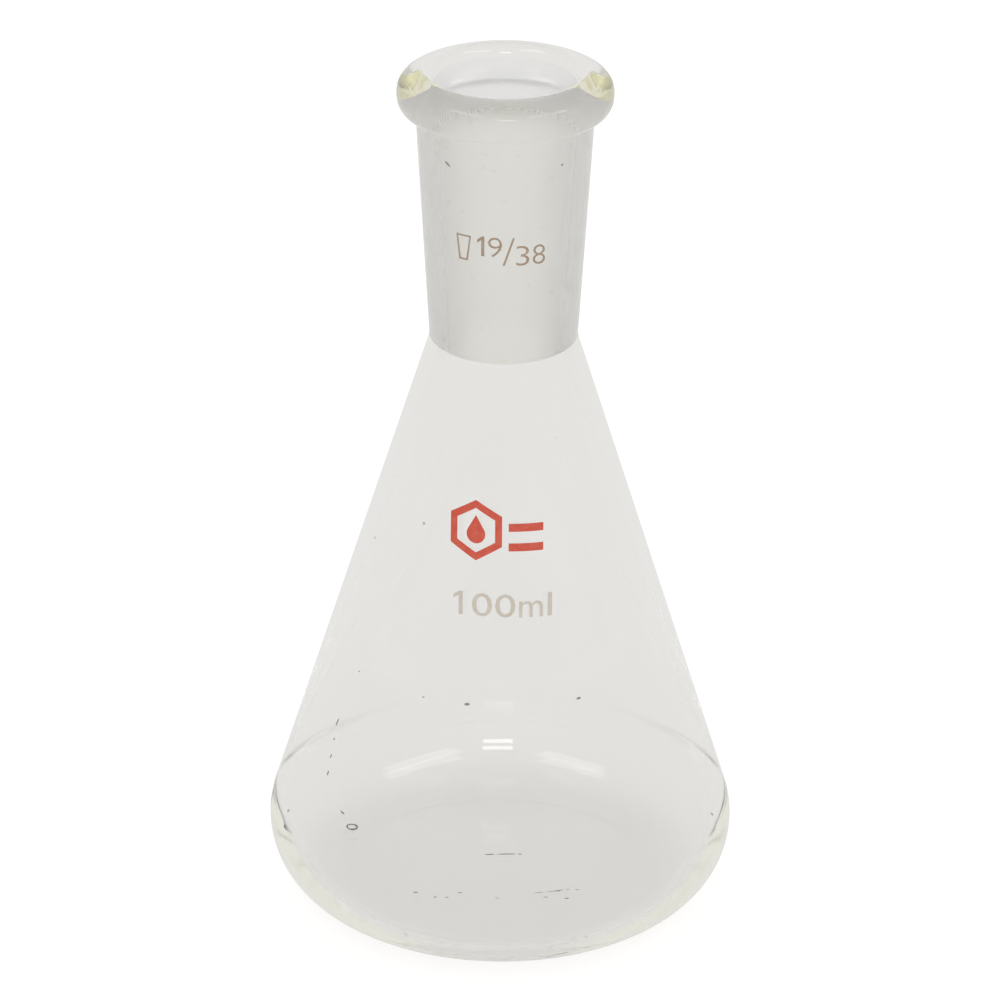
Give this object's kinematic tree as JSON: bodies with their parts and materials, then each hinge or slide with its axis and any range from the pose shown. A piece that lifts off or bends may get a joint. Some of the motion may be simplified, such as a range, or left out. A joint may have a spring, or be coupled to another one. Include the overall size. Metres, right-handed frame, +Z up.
{
  "type": "erlenmeyer flask",
  "caption": "Conical glass laboratory flask with a flat base, a tapered ground-glass socket neck, a thick rim bead and printed capacity and joint-size marks.",
  "frame": {"origin": "centre of the base, at the level the flask stands on", "axes": "+Z up along the axis of the flask, -Y towards the printed side, +X to the right when the printed side is seen from the front"},
  "size_m": [0.066, 0.066, 0.1235],
  "materials": {
    "clear_glass": "smooth clear borosilicate",
    "ground_glass": "clear outside with a finely ground, frosted bore",
    "red_enamel": "fired enamel print, slightly worn",
    "cream_enamel": "fired enamel print, thin",
    "brown_enamel": "fired enamel print, thin"
  },
  "bodies": {
    "root": {"conical_body": "clear_glass", "neck_socket": "ground_glass", "rim_bead": "clear_glass", "capacity_digit_1": "cream_enamel", "capacity_digit_2": "cream_enamel", "capacity_digit_3": "cream_enamel", "capacity_letter_m": "cream_enamel", "capacity_letter_l": "cream_enamel", "joint_digit_1": "brown_enamel", "joint_digit_2": "brown_enamel", "joint_slash": "brown_enamel", "joint_digit_3": "brown_enamel", "joint_digit_4": "brown_enamel", "joint_taper_symbol": "brown_enamel", "emblem_hexagon": "red_enamel", "emblem_drop": "red_enamel", "emblem_bar_lower": "red_enamel", "emblem_bar_upper": "red_enamel"}
  },
  "joints": []
}
